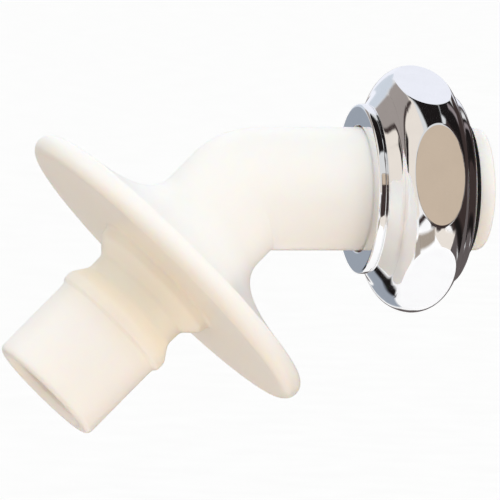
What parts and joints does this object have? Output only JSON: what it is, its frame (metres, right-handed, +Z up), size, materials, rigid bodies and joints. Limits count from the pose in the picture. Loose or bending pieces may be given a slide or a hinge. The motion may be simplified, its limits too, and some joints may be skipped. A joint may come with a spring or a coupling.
{
  "type": "elbow hose nipple",
  "caption": "Plastic elbow hose nipple with a round stop flange, a beaded spigot and a loose chrome union nut that slides and turns on its inlet pipe.",
  "frame": {"origin": "on the inlet pipe's axis, in the plane of the packing's sealing face", "axes": "+X out of the inlet towards the faucet; +Z up; the elbow bends in the XZ plane and its outlet points down and to -X"},
  "size_m": [0.0634, 0.0468, 0.0477],
  "materials": {
    "ivory_plastic": "glossy warm white moulding",
    "black_rubber": "matt black rubber",
    "spring_brass": "plain drawn brass",
    "white_nylon": "plain white washer plastic",
    "chrome_plate": "polished chrome plate"
  },
  "bodies": {
    "nipple": {"elbow_nipple": "ivory_plastic", "packing": "black_rubber", "retaining_ring": "spring_brass"},
    "washer": {"slip_washer": "white_nylon"},
    "nut": {"coupling_nut": "chrome_plate"}
  },
  "joints": [
    {"name": "nut_slide", "type": "slide", "parent": "nipple", "child": "washer", "axis": [1, 0, 0], "range_m": [-0.0114, 0.006]},
    {"name": "nut_spin", "type": "hinge", "parent": "washer", "child": "nut", "pos_m": [-0.0076, 0, 0], "axis": [1, 0, 0], "continuous": true}
  ]
}
